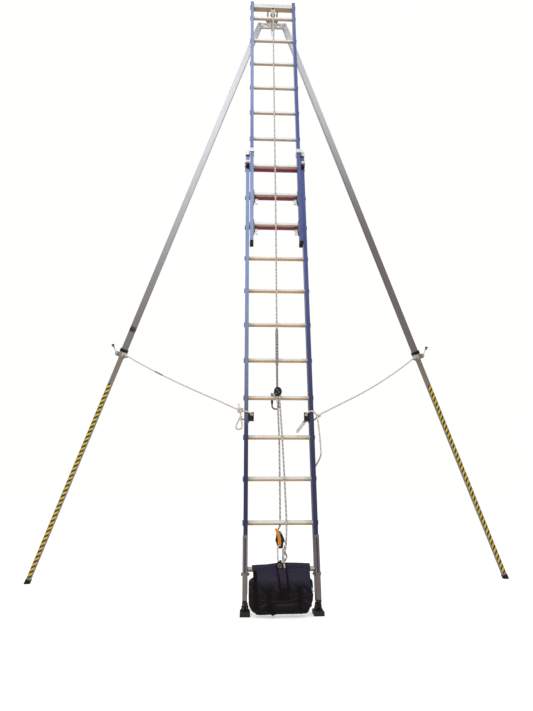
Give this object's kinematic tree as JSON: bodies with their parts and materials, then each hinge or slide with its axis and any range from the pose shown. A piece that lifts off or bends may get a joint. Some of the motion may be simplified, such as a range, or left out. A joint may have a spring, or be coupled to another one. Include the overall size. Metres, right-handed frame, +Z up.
{
  "type": "rescue tripod",
  "caption": "Ladder-based rescue tripod: an extension ladder leaning back on two telescopic legs, with a haul line, rope grab, descender and gear bag.",
  "frame": {"origin": "on the floor under the middle of the part's bounding box, without the ropes", "axes": "+Z up, +X to the right as seen from the ladder's front, +Y to the rear, where the legs stand"},
  "size_m": [3.7414, 1.2458, 4.7102],
  "materials": {
    "frp_blue": "glass-fibre reinforced plastic, satin",
    "rung_aluminium": "extruded, satin",
    "rung_red": "red coated, satin",
    "boss_blue": "moulded, satin",
    "black_rubber": "matt",
    "foot_rubber": "dusty, matt",
    "cast_aluminium": "cast, satin",
    "leg_aluminium": "extruded, anodised",
    "inner_aluminium": "extruded, anodised; hazard tape on its lower part",
    "zinc_steel": "zinc plated",
    "black_metal": "black coated",
    "bronze_alloy": "anodised bronze",
    "orange_handle": "orange coated",
    "sheave_brass": "machined",
    "haul_rope": "braided, off-white with dark flecks",
    "restraint_rope": "braided, off-white with tan flecks",
    "webbing_brown": "woven webbing",
    "bag_cloth": "coated bag cloth, dark navy"
  },
  "bodies": {
    "base": {"base_stile_left": "frp_blue", "base_stile_right": "frp_blue", "base_rungs": "rung_aluminium", "base_warning_rungs": "rung_red", "base_rung_bosses": "boss_blue", "base_end_caps": "black_rubber", "stile_guides": "cast_aluminium", "base_bolts": "zinc_steel", "anchor_plates": "black_metal", "gear_bag": "bag_cloth", "anchor_strop": "webbing_brown", "grab_cheeks": "black_metal", "grab_eye": "zinc_steel", "grab_carabiner": "bronze_alloy", "descender_plates": "black_metal", "descender_cam": "zinc_steel", "descender_carabiner": "zinc_steel", "haul_line": "haul_rope", "restraint_rope_left": "restraint_rope", "restraint_rope_right": "restraint_rope"},
    "fly": {"fly_stile_left": "frp_blue", "fly_stile_right": "frp_blue", "fly_rungs": "rung_aluminium", "fly_rung_bosses": "boss_blue", "fly_end_caps": "black_rubber", "rung_hooks": "cast_aluminium", "fly_bolts": "zinc_steel", "head_crossbar": "cast_aluminium", "head_pins": "zinc_steel", "head_yoke": "cast_aluminium", "leg_pivot_bolts": "zinc_steel", "load_link": "zinc_steel"},
    "head_sheave": {"head_sheave": "sheave_brass"},
    "grab_cam": {"grab_cam": "zinc_steel"},
    "grab_gate": {"grab_gate": "black_metal"},
    "descender_handle": {"descender_handle": "orange_handle"},
    "descender_gate": {"descender_gate": "zinc_steel"},
    "leg_left": {"leg_fork_left": "cast_aluminium", "leg_outer_left": "leg_aluminium", "leg_clamp_left": "cast_aluminium"},
    "leg_inner_left": {"leg_inner_left": "inner_aluminium", "leg_foot_left": "black_rubber"},
    "clamp_lever_left": {"clamp_lever_left": "zinc_steel"},
    "leveller_left": {"leveller_sleeve_left": "cast_aluminium", "foot_bracket_left": "black_metal"},
    "foot_left": {"foot_left": "foot_rubber"},
    "catch_lower_left": {"catch_lower_left": "zinc_steel"},
    "catch_upper_left": {"catch_upper_left": "zinc_steel"},
    "leg_right": {"leg_fork_right": "cast_aluminium", "leg_outer_right": "leg_aluminium", "leg_clamp_right": "cast_aluminium"},
    "leg_inner_right": {"leg_inner_right": "inner_aluminium", "leg_foot_right": "black_rubber"},
    "clamp_lever_right": {"clamp_lever_right": "zinc_steel"},
    "leveller_right": {"leveller_sleeve_right": "cast_aluminium", "foot_bracket_right": "black_metal"},
    "foot_right": {"foot_right": "foot_rubber"},
    "catch_lower_right": {"catch_lower_right": "zinc_steel"},
    "catch_upper_right": {"catch_upper_right": "zinc_steel"}
  },
  "joints": [
    {"name": "fly_extend", "type": "slide", "parent": "base", "child": "fly", "axis": [0, 0.0872, 0.9962], "range_m": [0, 0.04], "deforming": ["haul_line", "restraint_rope_left", "restraint_rope_right"]},
    {"name": "catch_lower_left_swing", "type": "hinge", "parent": "fly", "child": "catch_lower_left", "pos_m": [-0.141, -0.34985, 2.47604], "axis": [1, 0, 0], "range_deg": [-28, 28]},
    {"name": "catch_lower_right_swing", "type": "hinge", "parent": "fly", "child": "catch_lower_right", "pos_m": [0.141, -0.34985, 2.47604], "axis": [1, 0, 0], "range_deg": [-28, 28]},
    {"name": "catch_upper_left_swing", "type": "hinge", "parent": "fly", "child": "catch_upper_left", "pos_m": [-0.141, -0.32771, 2.72907], "axis": [1, 0, 0], "range_deg": [-28, 28]},
    {"name": "catch_upper_right_swing", "type": "hinge", "parent": "fly", "child": "catch_upper_right", "pos_m": [0.141, -0.32771, 2.72907], "axis": [1, 0, 0], "range_deg": [-28, 28]},
    {"name": "head_sheave_turn", "type": "hinge", "parent": "fly", "child": "head_sheave", "pos_m": [0, -0.15736, 4.60738], "axis": [1, 0, 0], "continuous": true},
    {"name": "leg_left_fold", "type": "hinge", "parent": "fly", "child": "leg_left", "pos_m": [-0.108, -0.03723, 4.61495], "axis": [0, 0.9905, 0.1376], "range_deg": [-17.5, 0], "deforming": ["restraint_rope_left"]},
    {"name": "leg_right_fold", "type": "hinge", "parent": "fly", "child": "leg_right", "pos_m": [0.108, -0.03723, 4.61495], "axis": [0, -0.9905, -0.1376], "range_deg": [-17.5, 0], "deforming": ["restraint_rope_right"]},
    {"name": "leg_left_extend", "type": "slide", "parent": "leg_left", "child": "leg_inner_left", "axis": [-0.3502, 0.1288, -0.9278], "range_m": [-1.7, 0.45]},
    {"name": "leg_right_extend", "type": "slide", "parent": "leg_right", "child": "leg_inner_right", "axis": [0.3502, 0.1288, -0.9278], "range_m": [-1.7, 0.45]},
    {"name": "clamp_lever_left_turn", "type": "hinge", "parent": "leg_left", "child": "clamp_lever_left", "pos_m": [-1.23402, 0.36173, 1.74219], "axis": [0, 0.9905, 0.1376], "range_deg": [-57, 57]},
    {"name": "clamp_lever_right_turn", "type": "hinge", "parent": "leg_right", "child": "clamp_lever_right", "pos_m": [1.23402, 0.36173, 1.74219], "axis": [0, 0.9905, 0.1376], "range_deg": [-57, 57]},
    {"name": "leveller_left_slide", "type": "slide", "parent": "base", "child": "leveller_left", "axis": [0, -0.0872, -0.9962], "range_m": [0, 0.18]},
    {"name": "leveller_right_slide", "type": "slide", "parent": "base", "child": "leveller_right", "axis": [0, -0.0872, -0.9962], "range_m": [0, 0.18]},
    {"name": "foot_left_tilt", "type": "hinge", "parent": "leveller_left", "child": "foot_left", "pos_m": [-0.207, -0.52231, 0.04582], "axis": [1, 0, 0], "range_deg": [-24, 24]},
    {"name": "foot_right_tilt", "type": "hinge", "parent": "leveller_right", "child": "foot_right", "pos_m": [0.207, -0.52231, 0.04582], "axis": [1, 0, 0], "range_deg": [-24, 24]},
    {"name": "grab_cam_turn", "type": "hinge", "parent": "base", "child": "grab_cam", "pos_m": [0.009, -0.46422, 1.28347], "axis": [0, 0.9962, -0.0872], "continuous": true},
    {"name": "grab_gate_open", "type": "hinge", "parent": "base", "child": "grab_gate", "pos_m": [-0.04, -0.39595, 1.21476], "axis": [0, 0.9962, -0.0872], "range_deg": [0, 22], "stiffness_Nm_per_rad": 0.02, "springref_deg": -17.19},
    {"name": "descender_handle_turn", "type": "hinge", "parent": "base", "child": "descender_handle", "pos_m": [-0.008, -0.51685, 0.38363], "axis": [0, 0.9962, -0.0872], "range_deg": [-90, 0]},
    {"name": "descender_gate_open", "type": "hinge", "parent": "base", "child": "descender_gate", "pos_m": [0.01156, -0.48355, 0.29891], "axis": [-0.7071, 0.7044, -0.0616], "range_deg": [-22, 0], "stiffness_Nm_per_rad": 0.02, "springref_deg": 17.19}
  ]
}
